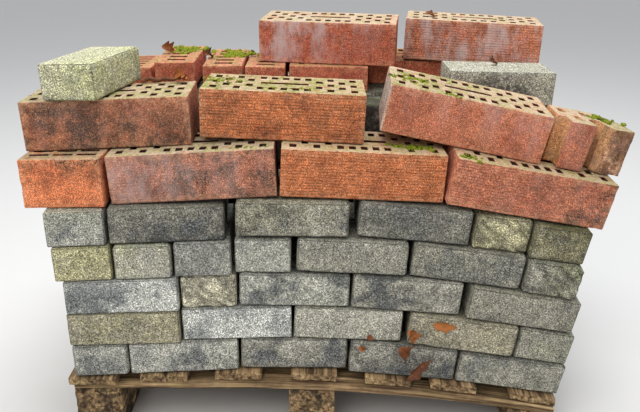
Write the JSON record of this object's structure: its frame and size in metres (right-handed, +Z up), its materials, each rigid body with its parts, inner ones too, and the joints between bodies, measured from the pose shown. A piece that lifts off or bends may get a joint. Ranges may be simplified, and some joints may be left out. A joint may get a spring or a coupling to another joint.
{
  "type": "pallet of bricks",
  "caption": "Timber block pallet loaded with courses of grey concrete pavers, red perforated clay bricks on top, one tilted and one broken, with a sunken front corner.",
  "frame": {"origin": "on the floor, under the middle of the pallet, on the underside of its middle bottom board", "axes": "+Z up, the front of the stack faces -Y, +X to the right seen from the front"},
  "size_m": [1.0729, 0.6723, 0.7378],
  "materials": {
    "concrete": "rough, weathered",
    "fired_clay": "rough, unglazed",
    "pallet_timber": "raw, weathered"
  },
  "bodies": {
    "root": {"paver_course_1": "concrete", "paver_course_2": "concrete", "paver_course_3": "concrete", "paver_course_4": "concrete", "paver_course_5": "concrete", "rear_course_6": "concrete", "rear_course_7": "concrete", "loose_paver_left": "concrete", "loose_paver_right": "concrete", "stack_core": "concrete", "end_on_brick": "fired_clay", "lower_brick_course": "fired_clay", "upper_brick_course": "fired_clay", "tilted_brick": "fired_clay", "broken_brick": "fired_clay", "rear_small_bricks": "fired_clay", "rear_top_bricks": "fired_clay", "deck_boards": "pallet_timber", "cross_boards": "pallet_timber", "blocks": "pallet_timber", "bottom_boards": "pallet_timber"}
  },
  "joints": []
}
